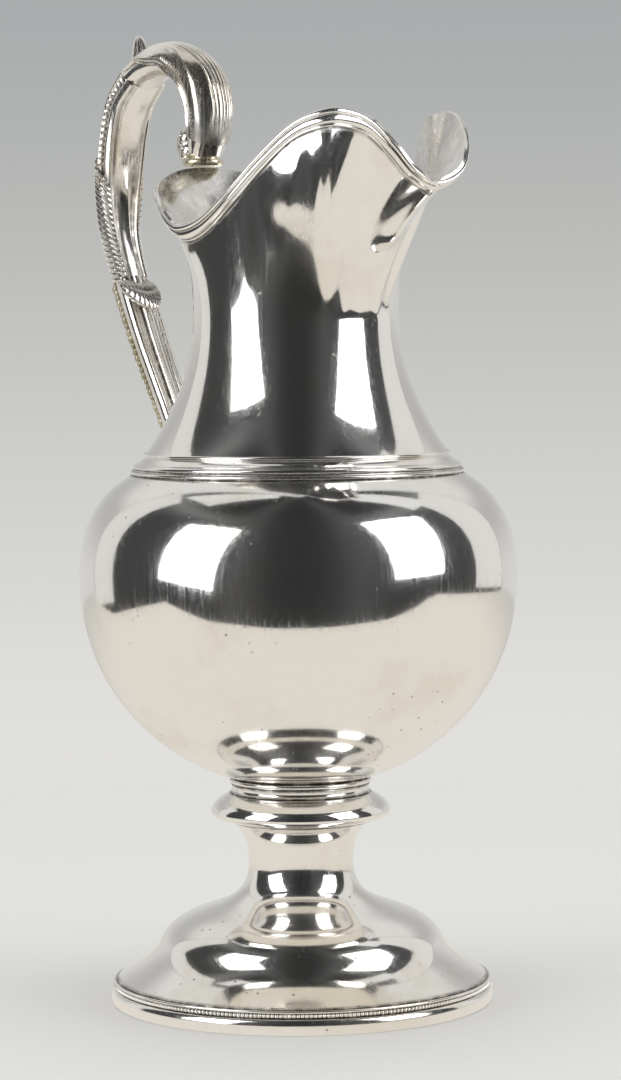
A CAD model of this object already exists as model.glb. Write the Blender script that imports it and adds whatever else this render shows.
import math

import bpy
import numpy as np
from mathutils import Matrix, Vector

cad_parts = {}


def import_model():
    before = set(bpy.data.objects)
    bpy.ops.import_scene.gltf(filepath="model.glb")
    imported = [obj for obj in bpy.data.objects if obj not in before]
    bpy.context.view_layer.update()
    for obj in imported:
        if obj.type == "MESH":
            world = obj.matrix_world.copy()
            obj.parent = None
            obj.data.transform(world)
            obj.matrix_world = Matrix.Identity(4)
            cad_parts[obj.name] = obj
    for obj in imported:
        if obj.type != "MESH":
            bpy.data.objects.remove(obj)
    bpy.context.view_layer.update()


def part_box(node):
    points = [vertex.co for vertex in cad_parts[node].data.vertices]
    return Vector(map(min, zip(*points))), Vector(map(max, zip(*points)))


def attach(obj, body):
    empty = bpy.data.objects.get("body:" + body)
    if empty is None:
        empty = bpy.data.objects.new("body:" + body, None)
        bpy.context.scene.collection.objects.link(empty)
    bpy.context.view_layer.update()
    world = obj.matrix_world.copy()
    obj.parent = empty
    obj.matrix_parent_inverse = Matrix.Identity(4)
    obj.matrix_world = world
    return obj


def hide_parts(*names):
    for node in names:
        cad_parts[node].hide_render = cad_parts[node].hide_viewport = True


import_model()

# A silver water pitcher: turned and raised sheet, drawn wires and a cast leaf handle.
# Shapes are worked out in millimetres in the CAD frame, and piece() turns them into metres.
MM = 0.001
TURN = 2 * math.pi
LATHE_STEPS = 288


def cad(name):
    """Lowest and highest corner of a CAD node, in millimetres."""
    low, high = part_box(name)
    return np.array(low) / MM, np.array(high) / MM


# ---------------------------------------------------------------- sizes taken from the CAD model
foot_r = cad("base_moulding")[1][0]
base_h = cad("base_moulding")[1][2]
fillet_z = cad("fillet_wire")[0][2]
knop_low, knop_high = (c[2] for c in cad("knop_disc"))
knop_r = cad("knop_disc")[1][0]
ring_z = cad("bowl_ring")[0][2]
floor_z = cad("bowl_ring")[1][2]
bowl_r = cad("bowl")[1][0]
bowl_top = cad("bowl")[1][2]

# Sizes that the CAD model's boxes don't tell, the same as in its source
WALL = 1.2
moulding_in = foot_r - 4.4
KNOP_FOOT_R = 23.7
KNOP_HEAD_R = 22.9
KNOP_EDGE_DROP = 6.2
KNOP_BORE = 16
STEM_R = 17.3
BOWL_FOOT_R = 22.4
shoulder_z = bowl_top - 3
SHOULDER_R = 54.3
WAIST_R = 33.8
WAIST_Z = 225


# ---------------------------------------------------------------- curves
def bezier_at(a, b, c, d, t):
    a, b, c, d = (np.array(p, float) for p in (a, b, c, d))
    return (1 - t) ** 3 * a + 3 * (1 - t) ** 2 * t * b + 3 * (1 - t) * t * t * c + t**3 * d


def bezier(a, b, c, d, n=28):
    return bezier_at(a, b, c, d, np.linspace(0, 1, n + 1)[:, None])


def joined(*parts):
    """Curves end to end, without their repeated joints."""
    return np.vstack([parts[0], *[p[1:] for p in parts[1:]]])


def arc(centre, radius, start, end, n=16):
    a = np.radians(np.linspace(start, end, n + 1))
    return np.c_[centre[0] + radius * np.cos(a), centre[1] + radius * np.sin(a)]


def through(points, n, closed=False):
    """A smooth curve through every point, with n steps to a stretch."""
    p = np.array(points, float)
    if closed:
        a, b, c, d = (np.roll(p, k, 0) for k in (1, 0, -1, -2))
    else:
        padded = np.vstack([p[:1], p, p[-1:]])
        a, b, c, d = padded[:-3], padded[1:-2], padded[2:-1], padded[3:]
    t = (np.arange(n) / n)[None, :, None]
    a, b, c, d = (q[:, None] for q in (a, b, c, d))
    squared, cubed = 2 * a - 5 * b + 4 * c - d, 3 * b - a - 3 * c + d
    made = 0.5 * (2 * b + (c - a) * t + squared * t**2 + cubed * t**3)
    made = made.reshape(-1, p.shape[1])
    return made if closed else np.vstack([made, p[-1]])


def bump(x, centre, width):
    """1 at the centre, fading smoothly to 0 over about twice the width."""
    return np.exp(-(((x - centre) / width) ** 2))


def smoothstep(x, low, high):
    t = np.clip((x - low) / (high - low), 0, 1)
    return t * t * (3 - 2 * t)


def unit(v):
    return v / np.linalg.norm(v, axis=-1, keepdims=True)


# ---------------------------------------------------------------- meshes
def grid_quads(rows, cols, wrap_rows=False, first=0):
    """Quads between rows of points whose first and last columns are joined."""
    i, j = np.meshgrid(np.arange(rows if wrap_rows else rows - 1), np.arange(cols), indexing="ij")
    below, beside = (i + 1) % rows, (j + 1) % cols
    quads = np.stack([i * cols + j, i * cols + beside, below * cols + beside, below * cols + j], -1)
    return quads.reshape(-1, 4) + first


def fan(pole, ring):
    """Triangles from a pole to a ring of points."""
    ring = np.asarray(ring)
    return [[pole, a, b] for a, b in zip(ring, np.roll(ring, -1))]


def volume_of(points, faces):
    """Six times the volume inside the faces, positive where they point outwards."""
    total = 0.0
    for f in faces:
        a = points[f[0]]
        for b, c in zip(f[1:-1], f[2:]):
            total += np.dot(a, np.cross(points[b], points[c]))
    return total


SEAMS = [
    (foot_r - 1.6, base_h), (foot_r - 2.4, fillet_z), (foot_r - 2, fillet_z + 1),
    (23.4, knop_low), (22.9, knop_high), (22.6, ring_z), (22.8, floor_z),
    (SHOULDER_R + 0.2, shoulder_z - 0.2), (SHOULDER_R - 0.2, shoulder_z + 1.5),
]


def seam_grime(points, width=0.75):
    """How near each point is to a soldered seam of the turned body, from 0 to 1."""
    r, z = np.hypot(points[:, 0], points[:, 1]), points[:, 2]
    near = [np.exp(-((r - sr) ** 2 + (z - sz) ** 2) / width**2) for sr, sz in SEAMS]
    return np.max(near, axis=0)


def piece(name, cad_node, material, points, faces, grime=None, sharp=40):
    """A closed mesh of points in millimetres that stands for one CAD node."""
    points = np.asarray(points, float)
    quads = np.array([f for f in faces if len(f) == 4])
    tris = [f for f in faces if len(f) != 4]
    volume = 0.0
    if len(quads):
        a, b, c, d = (points[quads[:, k]] for k in range(4))
        volume += np.einsum("ij,ij->", a, np.cross(b, c)) + np.einsum("ij,ij->", a, np.cross(c, d))
    volume += volume_of(points, tris)
    faces = [list(map(int, f)) for f in faces]
    if volume < 0:
        faces = [f[::-1] for f in faces]
    mesh = bpy.data.meshes.new(name)
    mesh.from_pydata((points * MM).tolist(), [], faces)
    mesh.shade_smooth()
    mesh.set_sharp_from_angle(angle=math.radians(sharp))
    if grime is None:
        grime = seam_grime(points)
    layer = mesh.attributes.new("grime", "FLOAT", "POINT")
    layer.data.foreach_set("value", np.asarray(grime, np.float32).ravel())
    mesh.materials.append(material)
    made = bpy.data.objects.new(name, mesh)
    bpy.context.scene.collection.objects.link(made)
    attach(made, "root")
    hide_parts(cad_node)


def lathe(name, cad_node, material, outline, steps=LATHE_STEPS, sharp=40, place=None):
    """Turns a closed outline of [radius, height] round Z, and caps one that starts and ends on the axis."""
    outline = np.array(outline, float)
    solid = outline[0, 0] < 1e-6
    body = outline[1:-1] if solid else outline
    a = np.arange(steps) / steps * TURN
    points = np.stack(
        [body[:, :1] * np.cos(a), body[:, :1] * np.sin(a), np.repeat(body[:, 1:], steps, 1)], -1
    ).reshape(-1, 3)
    rows = len(body)
    faces = list(grid_quads(rows, steps, wrap_rows=not solid))
    if solid:
        first, last = rows * steps, rows * steps + 1
        points = np.vstack([points, [0, 0, outline[0, 1]], [0, 0, outline[-1, 1]]])
        faces += fan(first, np.arange(steps)[::-1])
        faces += fan(last, (rows - 1) * steps + np.arange(steps))
    if place is not None:
        points = place(points)
    piece(name, cad_node, material, points, faces, sharp=sharp)


def capped(rings, first=0):
    """Points and faces of rings joined one to the next, with a fan to a middle point at either end."""
    rows, cols = rings.shape[:2]
    points = np.vstack([rings.reshape(-1, 3), rings[0].mean(0), rings[-1].mean(0)])
    faces = list(grid_quads(rows, cols, first=first))
    faces += fan(first + rows * cols, first + np.arange(cols)[::-1])
    faces += fan(first + rows * cols + 1, first + (rows - 1) * cols + np.arange(cols))
    return points, faces


def loft(name, cad_node, material, rings, grime, sharp=40):
    """Joins rings of points, one to the next, and closes both ends. Each ring's point has its own grime."""
    points, faces = capped(rings)
    piece(name, cad_node, material, points, faces, grime=np.r_[np.ravel(grime), 0, 0], sharp=sharp)


def closed_loft(name, cad_node, material, rings, grime, sharp=40):
    """Joins rings of points, one to the next and the last to the first."""
    faces = list(grid_quads(*rings.shape[:2], wrap_rows=True))
    piece(name, cad_node, material, rings.reshape(-1, 3), faces, grime=grime, sharp=sharp)


def many_balls(centres, radii, rows=9, cols=14):
    """Points and faces of one small round solid at each centre."""
    v = np.linspace(0, math.pi, rows + 1)[1:-1]
    u = np.arange(cols) / cols * TURN
    ball = np.stack(
        [np.outer(np.sin(v), np.cos(u)), np.outer(np.sin(v), np.sin(u)), np.outer(np.cos(v), np.ones(cols))],
        -1,
    ).reshape(-1, 3)
    ball = np.vstack([ball, [0, 0, 1], [0, 0, -1]])
    base = [list(f) for f in grid_quads(rows - 1, cols)]
    base += fan(len(ball) - 2, np.arange(cols)[::-1])
    base += fan(len(ball) - 1, (rows - 2) * cols + np.arange(cols))
    points, faces = [], []
    for centre, radius in zip(centres, radii):
        first = len(points) * len(ball)
        points.append(ball * radius + centre)
        faces += [[k + first for k in f] for f in base]
    return np.vstack(points), faces


# ---------------------------------------------------------------- materials
def node(tree, kind, inputs=None, **settings):
    made = tree.nodes.new("ShaderNode" + kind)
    for key, value in settings.items():
        setattr(made, key, value)
    for key, value in (inputs or {}).items():
        if isinstance(value, bpy.types.NodeSocket):
            tree.links.new(value, made.inputs[key])
        else:
            made.inputs[key].default_value = value
    return made


def calc(tree, operation, a, b=0.0, clamp=False):
    return node(tree, "Math", {0: a, 1: b}, operation=operation, use_clamp=clamp).outputs[0]


def times(tree, a, b):
    return calc(tree, "MULTIPLY", a, b)


def ramp(tree, value, low, high, to_low=0.0, to_high=1.0):
    ends = {"From Min": low, "From Max": high, "To Min": to_low, "To Max": to_high}
    return node(tree, "MapRange", {"Value": value, **ends}, interpolation_type="SMOOTHSTEP").outputs[0]


def blend_colour(tree, factor, a, b):
    return node(tree, "MixRGB", {"Fac": factor, "Color1": a, "Color2": b}).outputs[0]


def noise(tree, vector, scale, detail=2.0, rough=0.5):
    return node(
        tree, "TexNoise", {"Vector": vector, "Scale": scale, "Detail": detail, "Roughness": rough}
    ).outputs["Fac"]


def stretched(tree, vector, rotation, scale):
    return node(
        tree, "Mapping", {"Vector": vector, "Rotation": [math.radians(a) for a in rotation], "Scale": scale}
    ).outputs[0]


def fine_lines(tree, where, courses, detail, rough, low, high):
    """Hair-thin lines along several courses, each of which is a turn and a stretch."""
    made = None
    for turn, size in courses:
        line = ramp(tree, noise(tree, stretched(tree, where, turn, size), 1.0, detail, rough), low, high)
        made = line if made is None else calc(tree, "MAXIMUM", made, line)
    return made


SILVER = (0.93, 0.915, 0.885, 1)
CAST_SILVER = (0.9, 0.875, 0.83, 1)
AGED_SILVER = (0.7, 0.65, 0.5, 1)
WARM = (0.80, 0.74, 0.62, 1)
BROWNED = (0.74, 0.66, 0.53, 1)
OLIVE = (0.52, 0.47, 0.30, 1)
SOOT = (0.075, 0.06, 0.045, 1)
PIT_BROWN = (0.16, 0.12, 0.08, 1)
SCRATCH_COURSES = [
    ((20, 65, 10), (1500, 1500, 9)), ((75, 15, 40), (1900, 1900, 9)),
    ((110, 120, 80), (1700, 1700, 9)), ((50, 170, 120), (2100, 2100, 9)),
]
STREAK_COURSES = [((2, 3, 0), (620, 620, 7)), ((-5, 4, 20), (900, 900, 12)), ((9, -7, 50), (760, 760, 10))]


def silver(name, gloss=0.035, wave=6e-5, scratches=1.0, tarnish=0.25, dirt=1.0, tint=WARM, specks=0.86,
           metal=SILVER):
    """Polished silver: planishing waves, hairlines, scratches, pits, thin tarnish, haze and dirt in seams.

    A lower value of specks gives more pits. wave is the height of the planishing in metres.
    """
    material = bpy.data.materials.new(name)
    material.use_nodes = True
    tree = material.node_tree
    tree.nodes.clear()
    where = node(tree, "TexCoord").outputs["Object"]
    waves = noise(tree, where, 34.0, 1.5, 0.45)
    hairs = noise(tree, stretched(tree, where, (4, 3, 0), (1500, 1500, 26)), 1.0, 2.0, 0.6)
    grain = ramp(tree, noise(tree, where, 3800.0, 0.0), 0.55, 0.66)

    marks = fine_lines(tree, where, SCRATCH_COURSES, 1.0, 0.5, 0.70, 0.80)
    marks = times(tree, marks, ramp(tree, noise(tree, where, 55.0, 2.0), 0.46, 0.62))
    marks = times(tree, marks, scratches)
    streaks = fine_lines(tree, where, STREAK_COURSES, 2.0, 0.6, 0.54, 0.8)
    streaks = times(tree, streaks, ramp(tree, noise(tree, where, 30.0, 2.0), 0.3, 0.7, 0.25, 1.0))

    cells = node(tree, "TexVoronoi", {"Vector": where, "Scale": 330.0})
    spots = ramp(tree, cells.outputs["Distance"], 0.2, 0.08)
    chosen = node(tree, "SeparateColor", {"Color": cells.outputs["Color"]}).outputs[0]
    pits = times(tree, spots, ramp(tree, chosen, specks, specks + 0.04))
    pits = times(tree, pits, ramp(tree, noise(tree, where, 26.0, 3.0), 0.47, 0.56))

    clouds = times(tree, ramp(tree, noise(tree, where, 24.0, 5.0, 0.62), 0.47, 0.68), tarnish)
    grime = node(tree, "Attribute", attribute_name="grime").outputs["Fac"]
    soil = times(tree, grime, ramp(tree, noise(tree, where, 300.0, 3.0, 0.6), 0.25, 0.6, 0.35, 1.15))
    soil = calc(tree, "MULTIPLY", soil, dirt, clamp=True)

    colour = blend_colour(tree, clouds, metal, tint)
    colour = blend_colour(tree, times(tree, pits, 0.75), colour, PIT_BROWN)
    colour = blend_colour(tree, calc(tree, "POWER", soil, 1.4), colour, SOOT)

    rough = ramp(tree, hairs, 0.35, 0.75, gloss, gloss * 2.6)
    worn = ((clouds, 0.08), (streaks, 0.055 * scratches), (grain, 0.07), (marks, 0.12), (pits, 0.3))
    for layer, share in worn:
        rough = calc(tree, "ADD", rough, times(tree, layer, share))
    rough = calc(tree, "ADD", rough, times(tree, soil, 0.45), clamp=True)

    shape = node(tree, "Bump", {"Strength": 1.0, "Distance": wave, "Height": waves}).outputs[0]
    fine = calc(tree, "ADD", times(tree, hairs, 0.4), times(tree, marks, -0.45))
    fine = calc(tree, "ADD", fine, times(tree, pits, -1.0))
    shape = node(tree, "Bump", {"Strength": 0.5, "Distance": 4e-6, "Height": fine, "Normal": shape})
    shape = shape.outputs[0]

    looks = {"Base Color": colour, "Metallic": 1.0, "Roughness": rough, "Normal": shape}
    veil = {"Coat Weight": 0.5, "Coat Roughness": 0.38, "Coat IOR": 1.6}
    shader = node(tree, "BsdfPrincipled", {**looks, **veil})
    out = node(tree, "OutputMaterial")
    tree.links.new(shader.outputs[0], out.inputs["Surface"])
    return material


SHEET = silver("silver_sheet", gloss=0.045, tarnish=0.55, specks=0.58)
NECK = silver("silver_neck", gloss=0.04, wave=9e-5, tarnish=0.4)
WIRE = silver("silver_wire", gloss=0.06, wave=1e-5, tarnish=0.45)
CAST = silver(
    "silver_cast", gloss=0.09, wave=4e-5, scratches=0.5, tarnish=0.8, tint=BROWNED, metal=CAST_SILVER
)
AGED = silver(
    "silver_aged", gloss=0.2, wave=5e-5, scratches=0.5, tarnish=1.0, dirt=1.2, tint=OLIVE, metal=AGED_SILVER
)


# ---------------------------------------------------------------- foot
def base_moulding():
    half = base_h / 2
    top = base_h
    outline = joined(
        bezier([foot_r - 1.2, 0], [foot_r - 0.1, 0.35], [foot_r, 1.2], [foot_r, half]),
        bezier([foot_r, half], [foot_r, half + 1.3], [foot_r - 0.5, top - 0.5], [foot_r - 1.5, top - 0.25]),
        [[foot_r - 1.5, top - 0.25], [foot_r - 1.7, top]],
        [
            [foot_r - 1.7, top], [moulding_in, top], [moulding_in, half], [moulding_in + 1, 0],
            [foot_r - 1.2, 0],
        ],
    )[:-1]
    lathe("base_moulding_wire", "base_moulding", WIRE, outline)


def beaded_wire():
    """A ring of beads with a strip behind them. Dirt lies between the beads and on the strip."""
    count = 284
    r, ring = 0.67, foot_r - 1.1
    a = np.arange(count) / count * TURN
    centres = np.c_[ring * np.cos(a), ring * np.sin(a), np.full(count, base_h + r)]
    beads, faces = many_balls(centres, np.full(count, r))
    face_r = ring - 0.15
    back = [[face_r, base_h], [face_r, base_h + 2 * r], [moulding_in, fillet_z], [moulding_in, base_h]]
    t = np.arange(LATHE_STEPS) / LATHE_STEPS * TURN
    strip = np.array([[[q * math.cos(k), q * math.sin(k), z] for k in t] for q, z in back]).reshape(-1, 3)
    faces += list(grid_quads(len(back), LATHE_STEPS, wrap_rows=True, first=len(beads)))
    soil = np.r_[bump(np.hypot(beads[:, 0], beads[:, 1]), ring - 0.7, 0.5), np.ones(len(strip))]
    points = np.vstack([beads, strip])
    piece("beaded_wire_beads", "beaded_wire", WIRE, points, faces, grime=soil, sharp=60)


def fillet_wire():
    z = fillet_z
    outline = joined(
        [[foot_r - 3.6, z], [foot_r - 1.1, z]],
        arc((foot_r - 1.1, z + 0.45), 0.45, -90, 90),
        [[foot_r - 1.1, z + 0.9], [foot_r - 1.6, z + 0.8], [foot_r - 3.6, z + 0.2], [foot_r - 3.6, z]],
    )[:-1]
    lathe("fillet_wire_ring", "fillet_wire", WIRE, outline)


def sheet_outline(line, thick):
    """A line of [radius, height] given a thickness towards the axis."""
    d = unit(np.gradient(line, axis=0))
    inner = line + thick * np.c_[-d[:, 1], d[:, 0]]
    return np.vstack([line, inner[::-1]])


def pedestal():
    edge, turn, top = [foot_r - 1.6, fillet_z + 1.2], [46.8, 20.5], [34.6, 30]
    low, high = [STEM_R, 46], [KNOP_FOOT_R, knop_low]
    line = joined(
        bezier(edge, [54, 12], [49.2, 14.8], turn, 40),
        bezier(turn, [44.9, 25], [40.4, 27.9], top, 40),
        bezier(top, [25.6, 33.3], [STEM_R + 0.1, 35], low, 48),
        bezier(low, [STEM_R, 52], [18.5, 57.5], high, 32),
    )
    lathe("pedestal_sheet", "pedestal", SHEET, sheet_outline(line, WALL), sharp=60)


# ---------------------------------------------------------------- knop
def knop_disc():
    low, high = [KNOP_FOOT_R, knop_low], [KNOP_HEAD_R, knop_high]
    edge_z = knop_high - KNOP_EDGE_DROP
    edge = [knop_r, edge_z]
    outline = joined(
        bezier(low, [27, knop_low + 0.8], [knop_r, edge_z - 1.8], edge),
        bezier(edge, [knop_r, edge_z + 2.4], [26.8, knop_high - 1.4], high),
        [high, [KNOP_BORE, knop_high], [KNOP_BORE, knop_low], low],
    )[:-1]
    lathe("knop_disc_turned", "knop_disc", SHEET, outline)


def knop_collar():
    low, lip, top = [KNOP_HEAD_R, knop_high], [23, knop_high + 0.5], [23, ring_z]
    outline = joined(
        [[KNOP_BORE, knop_high], low],
        bezier(low, [23.3, knop_high + 0.1], [23.2, knop_high + 0.3], lip, 8),
        bezier(lip, [BOWL_FOOT_R, knop_high + 1], [BOWL_FOOT_R, ring_z - 1], top),
        [top, [KNOP_BORE, ring_z], [KNOP_BORE, knop_high]],
    )[:-1]
    lathe("knop_collar_turned", "knop_collar", SHEET, outline)


def bowl_ring():
    half = (floor_z - ring_z) / 2
    outline = joined(
        [[KNOP_BORE, ring_z], [BOWL_FOOT_R, ring_z]],
        arc((BOWL_FOOT_R, ring_z + half), half, -90, 90, 24),
        [[BOWL_FOOT_R, floor_z], [KNOP_BORE, floor_z], [KNOP_BORE, ring_z]],
    )[:-1]
    lathe("bowl_ring_wire", "bowl_ring", WIRE, outline)


# ---------------------------------------------------------------- bowl and shoulder
def bowl():
    """The round belly, closed below, with its upper edge turned in under the shoulder's wires."""
    widest = 142
    line = joined(
        bezier([BOWL_FOOT_R, floor_z], [45.8, 81.2], [bowl_r, 103.5], [bowl_r, widest], 90),
        bezier([bowl_r, widest], [bowl_r, 156], [67.5, 168], [SHOULDER_R, shoulder_z], 60),
        [[SHOULDER_R, shoulder_z], [SHOULDER_R - 0.9, bowl_top]],
    )
    skin = sheet_outline(line, WALL)
    outline = np.vstack([[0, floor_z], skin, [0, floor_z + WALL]])
    lathe("bowl_sheet", "bowl", SHEET, outline, sharp=60)


def round_wire(name, cad_node, r, z, d):
    lathe(name, cad_node, WIRE, arc((r, z), d / 2, 0, 360, 32)[:-1])


def shoulder():
    round_wire("shoulder_lower_ring", "shoulder_lower_wire", SHOULDER_R - 0.1, shoulder_z + 0.6, 1.5)
    round_wire("shoulder_middle_ring", "shoulder_middle_wire", SHOULDER_R - 1, shoulder_z + 2.5, 1.9)
    round_wire("shoulder_upper_ring", "shoulder_upper_wire", 50, 181.6, 1.3)
    z, r = bowl_top, SHOULDER_R - 1
    edge = [SHOULDER_R - 1.1, z + 0.5]
    line = joined(
        bezier([r, z], [r, z + 0.2], [r, z + 0.4], edge, 4),
        bezier(edge, [52.2, z + 0.8], [51, z + 1.6], [49.9, z + 3]),
    )
    lathe("shoulder_step_sheet", "shoulder_step", SHEET, sheet_outline(line, WALL), sharp=50)


# ---------------------------------------------------------------- mouth and neck
# Points along one side of the rim, from the middle of the lip to the handle: x, y, z, the sheet's lean in
# degrees, and two shares of the rise from the waist: over one the neck stays upright, over the other it
# keeps its lean
MOUTH_SIDE = [
    (73, 0, 268.2, 24, 0.36, 0.42), (73, 9.5, 272, 27, 0.33, 0.42), (69.5, 15, 279.8, 35, 0.2, 0.37),
    (62, 19, 287.8, 55, 0.24, 0.38), (52, 22.5, 291, 84, 0.22, 0.42), (42, 24.2, 290.3, 94, 0.35, 0.37),
    (33.3, 27.8, 286.6, 95, 0.56, 0.47), (23.5, 32.8, 277.5, 79, 0.53, 0.49),
    (12.8, 37, 266.6, 78, 0.24, 0.35), (-0.8, 38, 258.2, 71, 0.17, 0.3), (-12.5, 39, 256, 56, 0.28, 0.32),
    (-21.5, 38.2, 260.8, 49, 0.4, 0.38), (-31, 33.8, 267.5, 48, 0.5, 0.42),
    (-41, 24, 271.8, 52, 0.42, 0.42), (-48, 11.5, 275, 54, 0.36, 0.42), (-50, 0, 276, 54, 0.34, 0.42),
]
far_side = [(x, -y, *rest) for x, y, *rest in MOUTH_SIDE[-2:0:-1]]
rim_rows = through(MOUTH_SIDE + far_side, 14, closed=True)
rim_points, lean = rim_rows[:, :3], np.radians(rim_rows[:, 3:4])
upright, hold = rim_rows[:, 4:5], rim_rows[:, 5:6]
rim_back = np.array(MOUTH_SIDE[-1][:3])
rim_out = unit(rim_points * [1, 1, 0])
rim_up = rim_out * np.cos(lean) + [0, 0, 1] * np.sin(lean)
rim_off = rim_out * np.sin(lean) - [0, 0, 1] * np.cos(lean)
rise = rim_points[:, 2:] - WAIST_Z


def rib_height(t):
    """The rib pressed out under the lip, at a fraction t of the way from the waist to the rim."""
    start = 1 - bump(max(t - 0.42, 0), 0, 0.09)
    width = (7.5 - 5.9 * t) / 0.85
    return 3.3 * start * (1.3 - 0.85 * t) * bump(rim_points[:, 1:2], 0, width) * (rim_points[:, :1] > 0)


def neck_row(t):
    """The neck's outer surface at t, from -1 at its foot through 0 at the waist to 1 at the rim."""
    if t <= 0:
        up = round(t + 1, 3)
        r, z = bezier_at([49.6, 182.2], [46, 187], [WAIST_R, 206], [WAIST_R, WAIST_Z], up)
        return rim_out * r + [0, 0, z]
    waist = rim_out * WAIST_R + [0, 0, WAIST_Z]
    over_waist = waist + [0, 0, 1] * rise * upright
    made = bezier_at(waist, over_waist, rim_points - rim_up * rise * hold, rim_points, t)
    return made + rib_height(t) * rim_off


def neck():
    """The neck's sheet. Dirt lies along the lowest rim wire, and the inside is a little dull."""
    inner_dullness = 0.27
    levels = np.r_[np.linspace(-1, 0, 36)[:-1], np.linspace(0, 1, 72)]
    outer = np.array([neck_row(t) for t in levels])
    along = np.roll(outer, -1, 1) - np.roll(outer, 1, 1)
    up = np.gradient(outer, axis=0)
    inner = outer - WALL * unit(np.cross(along, up))
    rings = np.vstack([outer, inner[::-1]])
    below = np.linalg.norm(outer - outer[-1], axis=2)
    soil = np.vstack([bump(below, 5.4, 0.9), np.full(inner.shape[:2], inner_dullness)])
    soil = np.maximum(soil.ravel(), seam_grime(rings.reshape(-1, 3)))
    closed_loft("neck_sheet", "neck", NECK, rings, soil, sharp=60)


def rim_wire(name, cad_node, drop, stand, tall, thick, sides=16):
    """A wire along the rim: how far it lies below the edge and stands off the sheet, and its two sizes."""
    a = np.arange(sides) / sides * TURN
    up = (tall / 2 * np.cos(a) - drop)[None, :, None]
    off = (thick / 2 * np.sin(a) + stand)[None, :, None]
    rings = rim_points[:, None] + rim_up[:, None] * up + rim_off[:, None] * off
    soil = np.clip(np.abs(np.cos(a)) * 1.2 - 0.75 - 0.2 * np.sin(a), 0, 1)
    closed_loft(name, cad_node, WIRE, rings, np.tile(soil, len(rings)))


def rim():
    rim_wire("rim_bead_wire", "rim_bead", 0.5, 0.4, 1.8, 1.9)
    rim_wire("rim_band_wire", "rim_band", 2.9, 0.6, 3, 2.2, 24)
    rim_wire("rim_fillet_wire", "rim_fillet", 4.9, 0.4, 1.1, 1.3)


# ---------------------------------------------------------------- handle
# Centre lines in the plane y = 0: x, z, width across and thickness
HOOK_D = 14.5
ARM_W = 17
ARM_T = 8
HOOK_LINE = [
    (-50, 280, 10.2, 10.2), (-48.4, 284, 12.8, 12), (-46.5, 290, HOOK_D - 0.4, HOOK_D - 1.5),
    (-46.4, 297.5, HOOK_D, HOOK_D - 1.4), (-50, 305.2, HOOK_D, HOOK_D - 2),
    (-57.6, 310.8, HOOK_D, HOOK_D - 3), (-67.4, 313.5, ARM_W - 1.5, HOOK_D - 3.6),
    (-77, 312.3, ARM_W - 1, HOOK_D - 4.2), (-84.5, 308.8, ARM_W - 0.8, ARM_T + 2),
]
ARM_LINE = [
    (-84.5, 308.8, ARM_W - 0.8, ARM_T + 2), (-92.3, 300.5, ARM_W, ARM_T + 0.5), (-96.4, 290, ARM_W, ARM_T),
    (-98.9, 277, ARM_W - 0.8, ARM_T + 0.4), (-99.9, 266, ARM_W - 3.4, ARM_T + 0.8),
    (-99.4, 256, ARM_W - 5.8, ARM_T + 1), (-96.8, 247, ARM_W - 7, ARM_T + 1.2),
    (-93.4, 239, ARM_W - 7, ARM_T + 1.2),
]
STEM_LINE = [
    (-93.4, 239, 11, 8.5), (-88, 229, 11.8, 8.5), (-81.4, 216, 11.5, 8), (-74.8, 204, 10.8, 7.6),
    (-69, 193.5, 10.2, 7.4), (-64.8, 185.5, 10, 7.4), (-61.5, 179.5, 10.5, 8),
]


def spine(line, n):
    """A smooth centre line: each row's middle, its direction to the loop's inside, its sizes, and s."""
    fine = through(line, n)
    middle = np.c_[fine[:, 0], np.zeros(len(fine)), fine[:, 1]]
    d = unit(np.gradient(fine[:, :2], axis=0))
    inside = np.c_[-d[:, 1], np.zeros(len(fine)), d[:, 0]]
    length = np.r_[0, np.cumsum(np.linalg.norm(np.diff(fine[:, :2], axis=0), axis=1))]
    return middle, inside, fine[:, 2:3], fine[:, 3:4], (length / length[-1])[:, None]


def placed(middle, inside, across_in, across_y):
    """Points at a distance towards the loop's inside and a distance across."""
    sideways = across_y[..., None] * np.array([0, 1, 0])
    return middle[:, None] + inside[:, None] * across_in[..., None] - sideways


def soft(v, square):
    """A cosine or sine made squarer, from 0 for a circle up to 1."""
    return np.sign(v) * np.abs(v) ** (1 - square)


def handle_hook():
    middle, inside, w, t, s = spine(HOOK_LINE, 14)
    a = (np.arange(64) / 64 * TURN)[None]
    n_off, y_off = t / 2 * np.cos(a), w / 2 * np.sin(a)
    soil = np.tile(bump(np.degrees(a), 40, 9) * 0.5, (len(s), 1))
    loft("hook_casting", "handle_hook", CAST, placed(middle, inside, n_off, y_off), soil)


def leaf_shell(rows, spread, height, columns, square=0.0):
    """A leaf round the outer side of a spine's rows, whose half width is spread degrees at each row.

    height gives its thickness at an angle from the middle. The underside is sunk into the casting and dirty.
    """
    middle, inside, w, t, _ = rows
    b = np.linspace(-1, 1, columns)[None] * spread
    cos, sin = soft(np.cos(np.radians(b)), square), soft(np.sin(np.radians(b)), square)
    lift = height(b)
    sunk = 0.25
    outer = placed(middle, inside, -(t / 2 + lift) * cos, (w / 2 + lift) * sin)
    under = placed(middle, inside, -(t / 2 - sunk) * cos, (w / 2 - sunk) * sin)
    return np.concatenate([outer, under[:, ::-1]], axis=1), lift


def rows_between(rows, low, high):
    """The rows of a spine between two values of s, which is stretched to run from 0 to 1 again."""
    whole = rows[-1][:, 0]
    kept = (whole > low) & (whole < high)
    middle, inside, w, t, s = (q[kept] for q in rows)
    return middle, inside, w, t, (s - s[0]) / (s[-1] - s[0])


def with_underside(soil):
    """Grime of a leaf's outer face, followed by that of its underside."""
    return np.concatenate([soil, np.ones_like(soil)], axis=1)


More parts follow.
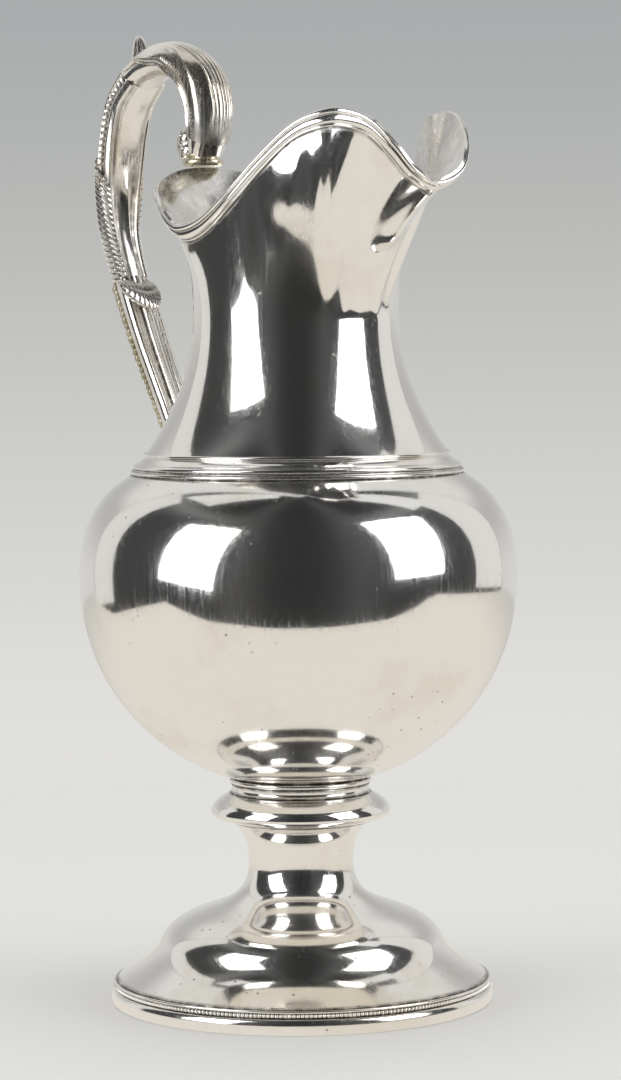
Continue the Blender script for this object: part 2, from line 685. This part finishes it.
def hook_leaf():
    """A smooth leaf with a scalloped, doubled margin, fine veins down its back and a row of chased ticks."""
    rows = rows_between(spine(HOOK_LINE, 34), 0.1, 0.975)
    u = rows[-1]
    spread = 117 - 50 * u**3 + 4.5 * np.abs(np.sin(u * 4.5 * math.pi)) - 3 * np.sin(u * 23)
    body = 0.55 + 1.0 * np.sin(math.pi * np.clip(u, 0, 1)) ** 0.8

    def height(b):
        share = b / spread
        away = np.abs(share)
        veins = sum(bump(b, k, 1.6) for k in (-46, -34, -23, -11, 0, 11, 23)) * smoothstep(u, 0.02, 0.2)
        veins = veins * (1 - smoothstep(u, 0.55, 0.8))
        slant = np.maximum(np.cos(TURN * (u * 46 - 3.0 * away)), 0) ** 2
        ticks = bump(away, 0.74, 0.055) * slant * smoothstep(np.sin(u * 14 + 0.6), -0.2, 0.3)
        margin = 0.42 * bump(away, 0.965, 0.022) + 0.3 * bump(away, 0.885, 0.02)
        trough = 0.4 * bump(away, 0.925, 0.018) + 0.5 * bump(away, 0.83, 0.03)
        fold = 0.35 * bump(share, 0.45 + 0.12 * np.sin(u * 7), 0.09) * np.sin(math.pi * u)
        return body - 0.34 * veins - 0.3 * ticks + margin - trough + fold

    rings, lift = leaf_shell(rows, spread, height, 190)
    soil = np.clip((body - lift) * 1.5, 0, 0.9) + 0.5 * bump(u, 0.0, 0.13)
    loft("hook_leaf_casting", "hook_leaf", CAST, rings, with_underside(soil))


def scroll_bud():
    """A small scroll: a round eye above a longer curl, with chased lines round it."""
    centres = [(-57.9, 0, 286.6), (-60.6, 0, 284.2), (-57.0, 0, 282.2)]
    points, faces = many_balls(centres, [4.1, 2.8, 4.1], 28, 44)
    local = points - np.repeat(centres, len(points) // len(centres), axis=0)
    turned = np.arctan2(local[:, 2], local[:, 0])
    lines = np.maximum(np.cos(turned * 3 + np.abs(local[:, 1]) * 2.4), 0) ** 6
    points = points - local * (0.1 * lines)[:, None]
    piece("scroll_bud_casting", "scroll_bud", CAST, points, faces, grime=0.75 * lines)


def thumb_spur():
    """The turned-up tip of the leaf, steep on its outer side, with four creases."""
    base, tip = np.array([-82.6, 0, 311.4]), np.array([-86.8, 0, 323.6])
    a = (np.arange(64) / 64 * TURN)[None]
    t = np.linspace(0, 1, 31)[:, None]
    creases = sum(bump(np.degrees(a), k, 7) for k in (290, 325, 20, 340)) * np.sin(math.pi * t) ** 0.5
    size = (5.4 * (1 - t) ** 0.65 + 0.3) * (1 - 0.13 * creases)
    around = np.stack([size * np.cos(a), size * np.sin(a), np.zeros_like(size)], -1)
    rings = around + (base + (tip - base) * t)[:, None]
    loft("thumb_spur_casting", "thumb_spur", CAST, rings, np.clip(creases, 0, 1) * 0.7)


def arm_face(share, s):
    """Relief of the arm's inner face: edge ridges, and lower down a rounded rib between two flutes."""
    low = smoothstep(s, 0.42, 0.66)
    edge = np.abs(share)
    made = 0.75 * bump(edge, 0.88, 0.07) - 0.45 * bump(edge, 0.7, 0.1) * (1 - low)
    made += low * (1.5 * bump(share, 0, 0.2) - 0.9 * bump(edge, 0.48, 0.2))
    return made


def handle_arm():
    """The arm: a flat inner face with relief and brown stains, and flanks with a beaded groove."""
    middle, inside, w, t, s = spine(ARM_LINE, 26)
    a = (np.arange(128) / 128 * TURN)[None]
    share, inward = soft(np.sin(a), 0.4), np.cos(a)
    facing = smoothstep(inward, 0.05, 0.35)
    relief = arm_face(share, s) * facing
    flank = smoothstep(np.abs(np.sin(a)), 0.8, 0.97)
    hollow = bump(inward, 0.02, 0.13)
    groove = flank * (0.5 * bump(inward, -0.28, 0.12) - 0.55 * hollow)
    pearls = flank * hollow * 0.45 * np.maximum(np.cos(s * TURN * 34), 0) * (s < 0.45)
    n_off = t / 2 * soft(inward, 0.4) + relief
    y_off = w / 2 * share + np.sign(share) * (groove + pearls)
    stains = 0.55 * bump(s, 0.5, 0.075) * bump(share, -0.25, 0.35)
    stains = stains + 0.4 * bump(s, 0.14, 0.05) * bump(share, -0.3, 0.2)
    stains = stains + 0.4 * bump(s, 0.3, 0.12) * bump(share, -0.55, 0.12)
    soil = np.clip(-relief * 1.1, 0, 0.6) + np.clip(-(groove + pearls) * 1.6, 0, 1) + stains * facing
    loft("arm_casting", "handle_arm", CAST, placed(middle, inside, n_off, y_off), soil)


def arm_leaf():
    """A serrated leaf whose barbs run slanting down over both flanks of the arm."""
    rows = rows_between(spine(ARM_LINE, 90), 0.42, 1.01)
    u = rows[-1]
    teeth, columns = 21, 150
    spread = 60 + 74 * smoothstep(u, 0.0, 0.25) + 2.5 * ((u * teeth) % 1)
    body = 0.25 + 0.35 * np.sin(math.pi * u) ** 0.7

    def height(b):
        share = np.abs(b / spread)
        phase = (u * teeth - 4.6 * share**1.3) % 1
        barbs = np.where(phase < 0.7, np.sin(phase / 0.7 * math.pi / 2), (1 - phase) / 0.3)
        flank = smoothstep(share, 0.3, 0.5)
        return body + barbs * flank * (1 - 0.6 * smoothstep(share, 0.88, 1)) + 0.4 * bump(share, 0, 0.08)

    rings, lift = leaf_shell(rows, spread, height, columns, square=0.3)
    barbed = smoothstep(np.abs(np.linspace(-1, 1, columns)), 0.3, 0.5)[None]
    soil = np.clip((body + 0.42 - lift) * 2.2, 0, 0.95) * barbed
    loft("arm_leaf_casting", "arm_leaf", CAST, rings, with_underside(soil), sharp=50)


def curled_leaf():
    """The ribbed leaf tip that rolls inwards over the joint, with its drooping tip towards the bowl."""
    rows, cols = 96, 84
    v = np.linspace(-1, 1, rows)[:, None]
    a = (np.arange(cols) / cols * TURN)[None]
    ribs = np.cos(TURN * (6.5 * v + 0.55 * np.sin(a)))
    r = 4.75 * np.sqrt(np.maximum(1 - np.abs(v) ** 2.6, 0.012)) * (1 + 0.085 * ribs)
    turned = (a + math.pi) % TURN - math.pi
    lip = bump(turned, 0.5, 0.55) * bump(v, 0, 0.55)
    roll = bump(turned, -0.7, 0.16) * (1 - v**2)
    r = r * (1 + 0.3 * lip - 0.16 * roll)
    x = -88.8 + 1.3 * r * np.cos(a) + 0.45 * r * np.sin(a) + 1.6 * (1 - v**2)
    z = 234.6 - 0.9 * r * np.sin(a) - 0.4 * r * np.cos(a) + 2.2 * v**2
    rings = np.stack([x, np.tile(7.4 * v, cols), z], -1)
    soil = np.clip(0.85 * smoothstep(-ribs, 0.1, 0.95) + 0.8 * roll, 0, 1)
    loft("curled_leaf_casting", "curled_leaf", CAST, rings, soil, sharp=60)


def handle_stem():
    """The stem: a rounded inner rib between two corner lobes, with dark creases between them."""
    middle, inside, w, t, s = spine(STEM_LINE, 18)
    a = (np.arange(120) / 120 * TURN)[None]
    turned = np.abs(np.degrees(np.arctan2(np.sin(a), np.cos(a))))
    crease = bump(turned, 21, 6) + bump(turned, 68, 7)
    size = 1 - 0.2 * crease
    n_off = t / 2 * soft(np.cos(a), 0.1) * size + 0.7 * bump(turned, 0, 15)
    y_off = w / 2 * soft(np.sin(a), 0.1) * size
    soil = np.tile(np.clip(crease, 0, 1) * 0.9, (len(s), 1))
    rings = placed(middle, inside, n_off, y_off)
    loft("stem_casting", "handle_stem", CAST, rings, soil, sharp=60)


def stem_flutes():
    """Two raised round flutes, one on each flank of the stem."""
    middle, inside, w, t, _ = spine([(x + 1.4, z + 0.7, 4.2, 4.6) for x, z, _, _ in STEM_LINE], 18)
    stem_w = spine(STEM_LINE, 18)[2]
    a = (np.arange(40) / 40 * TURN)[None]
    keep = slice(8, -10)
    flute = placed(middle, inside, t / 2 * np.cos(a), w / 2 * np.sin(a))[keep]
    points, faces = np.empty((0, 3)), []
    for side in (-1, 1):
        rings = flute + np.array([0, 1, 0]) * (side * (stem_w[keep] / 2 - 1.2))[:, None]
        more, sides = capped(rings, first=len(points))
        points = np.vstack([points, more])
        faces += sides
    clean = np.zeros(len(points))
    piece("stem_flutes_casting", "stem_flutes", CAST, points, faces, grime=clean)


def stem_leaf():
    """Small leaflets along both outer edges of the stem, each lying over the next."""
    middle, inside, w, t, s = spine(STEM_LINE, 6)
    along = unit(np.gradient(middle, axis=0))
    ball, ball_faces = many_balls([(0, 0, 0)], [1.0], 12, 18)
    length, tilt, width, depth = 1.0695, 0.35, 0.85, 0.95
    points, faces = [], []
    for side in (-1, 1):
        for i in range(1, len(middle) - 6):
            r = (1.45 + 0.15 * math.sin(i * 2.1)) * (1 - 0.35 * s[i, 0])
            centre = middle[i] - inside[i] * (t[i] / 2 - 0.5) + np.array([0, side, 0]) * (w[i] / 2 - 1.3)
            lying = along[i] * length - inside[i] * tilt
            axes = r * np.array([lying, [0, width, 0], inside[i] * depth])
            faces += [[k + len(ball) * len(points) for k in f] for f in ball_faces]
            points.append(ball @ axes + centre)
    points = np.vstack(points)
    dusty = np.full(len(points), 0.3)
    piece("stem_leaf_casting", "stem_leaf", AGED, points, faces, grime=dusty)


def handle_collar():
    """The moulded collar on the rim, soldered a little out of round."""
    outline = joined(
        [[0, 0.9], [5.2, 0.9]], arc((5.3, 2.5), 1.6, -80, 70), [[5.6, 4.15], [5.35, 4.25]],
        arc((5.3, 4.9), 0.6, -70, 100, 12), [[5.05, 5.4], [5.05, 4], [0, 4]],
    )

    def uneven(p):
        swell = 1 + 0.035 * np.sin(3 * np.arctan2(p[:, 1], p[:, 0]) + 0.8)
        return p * np.c_[swell, swell, np.ones(len(p))] + rim_back

    lathe("handle_collar_casting", "handle_collar", AGED, outline, 128, place=uneven)


def handle_seat():
    """The turned pad that joins the stem to the shoulder, tilted to lie on it."""
    tilt = np.array(Matrix.Rotation(math.radians(-38), 3, "Y"))
    middle = np.array([-59.5, 0, 176.2])
    outline = joined(
        [[0, -3.4], [6.4, -3.4]], arc((6, -1.6), 1.2, -60, 80), [[6.2, -0.4], [4, 1.4], [0, 1.4]]
    )

    def leant(p):
        return p @ tilt.T + middle

    lathe("handle_seat_casting", "handle_seat", AGED, outline, 96, place=leant)


base_moulding()
beaded_wire()
fillet_wire()
pedestal()
knop_disc()
knop_collar()
bowl_ring()
bowl()
shoulder()
neck()
rim()
handle_hook()
hook_leaf()
scroll_bud()
thumb_spur()
handle_arm()
arm_leaf()
curled_leaf()
handle_stem()
stem_flutes()
stem_leaf()
handle_collar()
handle_seat()

# ---------------------------------------------------------------- studio
# Directions are given from the pitcher: azimuth 0 is towards the camera and grows to the picture's right.
CAMERA_AZIMUTH = math.radians(52)
TO_CAMERA = Vector((math.sin(CAMERA_AZIMUTH), -math.cos(CAMERA_AZIMUTH), 0))
TO_RIGHT = Vector((math.cos(CAMERA_AZIMUTH), math.sin(CAMERA_AZIMUTH), 0))
# The room is a dome of this radius round a point on the axis at this height, in metres
STUDIO_R = 1.3
STUDIO_Z = 0.142
# Silver returns about this share of the light, so the room is brighter than it looks in the silver by as much
SILVER_SHARE = 0.9


def towards(azimuth, elevation, distance=STUDIO_R):
    """The point at a distance in a direction, in degrees, from the middle of the room."""
    a, e = math.radians(azimuth), math.radians(elevation)
    flat = TO_CAMERA * math.cos(a) + TO_RIGHT * math.sin(a)
    return flat * (distance * math.cos(e)) + Vector((0, 0, STUDIO_Z + distance * math.sin(e)))


def linear(grey):
    """Scene brightness of a display grey from 0 to 255."""
    v = np.asarray(grey, float) / 255
    return np.where(v <= 0.04045, v / 12.92, ((v + 0.055) / 1.055) ** 2.4)


def staged(name, points, faces, material):
    mesh = bpy.data.meshes.new(name)
    mesh.from_pydata([tuple(p) for p in points], [], [list(map(int, f)) for f in faces])
    mesh.materials.append(material)
    made = bpy.data.objects.new(name, mesh)
    bpy.context.scene.collection.objects.link(made)
    return made


def only_reflected(made):
    """Leaves an object to be seen in the silver and nowhere else."""
    made.visible_camera = False
    made.visible_diffuse = False
    made.visible_shadow = False
    made.visible_transmission = False
    made.visible_volume_scatter = False


def glow(name, colour=(0, 0, 0), strength=1.0, attribute=None):
    """A material that shines with one colour, or with the colours of the mesh's attribute."""
    material = bpy.data.materials.new(name)
    material.use_nodes = True
    tree = material.node_tree
    tree.nodes.clear()
    light = node(tree, "Emission", {"Color": (*colour, 1), "Strength": strength})
    if attribute:
        source = node(tree, "Attribute", attribute_name=attribute).outputs["Color"]
        tree.links.new(source, light.inputs["Color"])
    out = node(tree, "OutputMaterial")
    tree.links.new(light.outputs[0], out.inputs["Surface"])
    return material


def painted_glow(name, points, faces, colours):
    """A shining surface with one colour at each point, seen only in reflections."""
    made = staged(name, points, faces, glow(name, attribute="painted"))
    layer = made.data.color_attributes.new("painted", "FLOAT_COLOR", "POINT")
    layer.data.foreach_set("color", np.c_[colours, np.ones(len(colours))].ravel())
    only_reflected(made)


def panel(name, corners, grey, strength=1.0, tint=(1, 1, 1)):
    """A flat panel just inside the room, with directions for corners, seen only in reflections."""
    colour = tuple(float(linear(grey)) * t for t in tint)
    points = [towards(a, e, STUDIO_R * 0.97) for a, e in corners]
    only_reflected(staged(name, points, [range(len(points))], glow(name, colour, strength)))


def room_grey(a, e):
    """Display grey of the studio beyond the table, at an azimuth and elevation, as seen in the silver."""
    side = np.abs(a)
    dark = 40 + 26 * bump(side, 32, 14) + 10 * smoothstep(side, 60, 100)
    haze = 62 * bump(e, 52, 7) * smoothstep(side, 25, 70)
    room = dark + haze
    backdrop = 204 - 30 * smoothstep(e, -5, 18) + 38 * smoothstep(e, 20, 34)
    backdrop = backdrop - 60 * smoothstep(side, 160, 180) * smoothstep(e, 38, 60)
    return room + (backdrop - room) * smoothstep(side, 126, 132)


def studio_dome():
    """The cool dark room before the pitcher and the pale, slightly warm backdrop behind it."""
    az = np.arange(-180, 180, 3.0)
    el = np.r_[np.arange(-40, 90, 2.5), 90]
    points = [towards(a, e) for e in el for a in az]
    a, e = (q.reshape(-1, 1) for q in np.meshgrid(az, el))
    behind = smoothstep(np.abs(a), 120, 132)
    cool, warm = np.array([0.98, 1.0, 1.01]), np.array([1.0, 0.995, 0.975])
    colours = linear(room_grey(a, e)) * (cool * (1 - behind) + warm * behind) / SILVER_SHARE
    painted_glow("studio_room", points, grid_quads(len(el), len(az)), colours)


def table_mirrored():
    """The table as the silver sees it: pale, and greyer far behind the pitcher.

    Its edge is given in millimetres towards the camera and to the right.
    """
    near_grey, far_grey = linear([217, 212, 204]), linear([190, 188, 183])
    edge = [
        (380, 0), (367, 212), (334, 334), (325, 564), (335, 831), (279, 1041), (-224, 1054), (-900, 900),
        (-1270, 0), (-900, -900), (-228, -628), (0, -730), (290, -831), (325, -564), (334, -334), (367, -212),
    ]
    shares = [1, 0.8, 0.62, 0.46, 0.32, 0.2, 0.1]
    spots = [(k * f, k * r) for k in shares for f, r in edge]
    points = [(TO_CAMERA * f + TO_RIGHT * r) * MM for f, r in spots]
    faces = [*grid_quads(len(shares), len(edge)), range(len(points) - len(edge), len(points))]
    far = smoothstep(-np.array(spots)[:, :1], 80, 800)
    painted_glow("table_reflection", points, faces, (near_grey * (1 - far) + far_grey * far) / SILVER_SHARE)


def studio():
    daylight, paper = (1, 1, 1.02), (1, 0.985, 0.96)
    studio_dome()
    table_mirrored()
    panel("softbox_left", [(-72, 41), (-35.5, 42.5), (-44, -5), (-75, 0)], 255, 3.5, daylight)
    panel("softbox_right", [(42.5, 48), (85, 43), (78.5, 1), (50, 0)], 255, 3.5, daylight)
    panel("side_left", [(-130, 52), (-110, 52), (-110, -9), (-130, -9)], 222, tint=paper)
    panel("side_right", [(103, 50), (130, 50), (130, -6), (103, -6)], 224, tint=paper)
    panel("top_left", [(-121, 54), (-88, 60), (-85, 84), (-130, 84)], 228)
    panel("top_right", [(84, 70), (92, 48), (114, 47), (120, 80)], 228)


def floor():
    """The pale floor that the camera sees, fading into the backdrop with distance."""
    rings, steps = [0.1, 0.2, 0.4, 0.8, 1.6], 64
    turns = [TURN * k / steps for k in range(steps)]
    points = [(r * math.cos(a), r * math.sin(a), 0) for r in rings for a in turns]
    points.append((0, 0, 0))
    faces = list(grid_quads(len(rings), steps)) + fan(len(points) - 1, np.arange(steps))
    material = bpy.data.materials.new("pale_floor")
    material.use_nodes = True
    tree = material.node_tree
    tree.nodes.clear()
    where = node(tree, "TexCoord").outputs["Object"]
    far = node(tree, "VectorMath", {0: where}, operation="LENGTH").outputs["Value"]
    fade = ramp(tree, far, 0.16, 0.75)
    plain = node(tree, "BsdfDiffuse", {"Color": (0.802, 0.785, 0.762, 1)})
    clear = node(tree, "BsdfTransparent")
    both = node(tree, "MixShader", {0: fade, 1: plain.outputs[0], 2: clear.outputs[0]})
    out = node(tree, "OutputMaterial")
    tree.links.new(both.outputs[0], out.inputs["Surface"])
    made = staged("studio_floor", points, faces, material)
    made.visible_glossy = False


def world():
    """A backdrop that fades with height, from pale at the table to grey above."""
    made = bpy.data.worlds.new("backdrop")
    bpy.context.scene.world = made
    made.use_nodes = True
    tree = made.node_tree
    tree.nodes.clear()
    where = node(tree, "TexCoord").outputs["Generated"]
    height = node(tree, "SeparateXYZ", {"Vector": where}).outputs["Z"]
    stops = [
        (-0.3, (226, 225, 222)), (-0.135, (227, 226, 222)), (-0.105, (223, 222, 219)),
        (-0.08, (218, 217, 213)), (-0.026, (201, 201, 197)), (0.03, (183, 184, 182)),
        (0.084, (166, 170, 171)), (0.6, (164, 168, 169)),
    ]
    low, high = stops[0][0], stops[-1][0]
    scaled = node(tree, "MapRange", {"Value": height, "From Min": low, "From Max": high}).outputs[0]
    colours = node(tree, "ValToRGB", {"Fac": scaled})
    band = colours.color_ramp
    band.interpolation = "B_SPLINE"
    for k, (z, rgb) in enumerate(stops):
        spot = (z - low) / (high - low)
        if k == 0:
            mark = band.elements[0]
        elif k == len(stops) - 1:
            mark = band.elements[-1]
        else:
            mark = band.elements.new(spot)
        mark.position = spot
        mark.color = (*linear(rgb), 1)
    light = node(tree, "Background", {"Color": colours.outputs[0], "Strength": 1.0})
    out = node(tree, "OutputWorld")
    tree.links.new(light.outputs[0], out.inputs["Surface"])


def lamp(name, azimuth, elevation, size, watts):
    """A square lamp that lights the floor and is not seen in the silver."""
    aim = Vector((0, 0, 0.1))
    data = bpy.data.lights.new(name, "AREA")
    data.shape = "SQUARE"
    data.size = size
    data.energy = watts
    made = bpy.data.objects.new(name, data)
    bpy.context.scene.collection.objects.link(made)
    made.location = towards(azimuth, elevation, 1.2)
    made.rotation_mode = "QUATERNION"
    made.rotation_quaternion = (aim - made.location).to_track_quat("-Z", "Y")
    made.visible_camera = False
    made.visible_glossy = False


def camera():
    """The picture's camera, aimed a little down and right of the axis, and slightly rolled."""
    distance, height, to_right = 1.182, 0.230, 0.00411
    pitch, roll = math.radians(3.743), math.radians(0.55)
    data = bpy.data.cameras.new("camera")
    data.sensor_width = 36
    data.lens = 119.73
    made = bpy.data.objects.new("camera", data)
    bpy.context.scene.collection.objects.link(made)
    made.location = TO_CAMERA * distance + Vector((0, 0, height))
    aim = TO_RIGHT * to_right + Vector((0, 0, height - distance * math.tan(pitch)))
    look = (aim - made.location).to_track_quat("-Z", "Y")
    made.rotation_mode = "QUATERNION"
    made.rotation_quaternion = look @ Matrix.Rotation(-roll, 3, "Z").to_quaternion()
    bpy.context.scene.camera = made


studio()
floor()
world()
lamp("softbox_lamp_left", -60, 24, 0.8, 2.6)
lamp("softbox_lamp_right", 68, 24, 0.8, 2.6)
lamp("ceiling_lamp", 180, 86, 1.8, 13.2)
camera()
bpy.context.scene.view_settings.view_transform = "Standard"
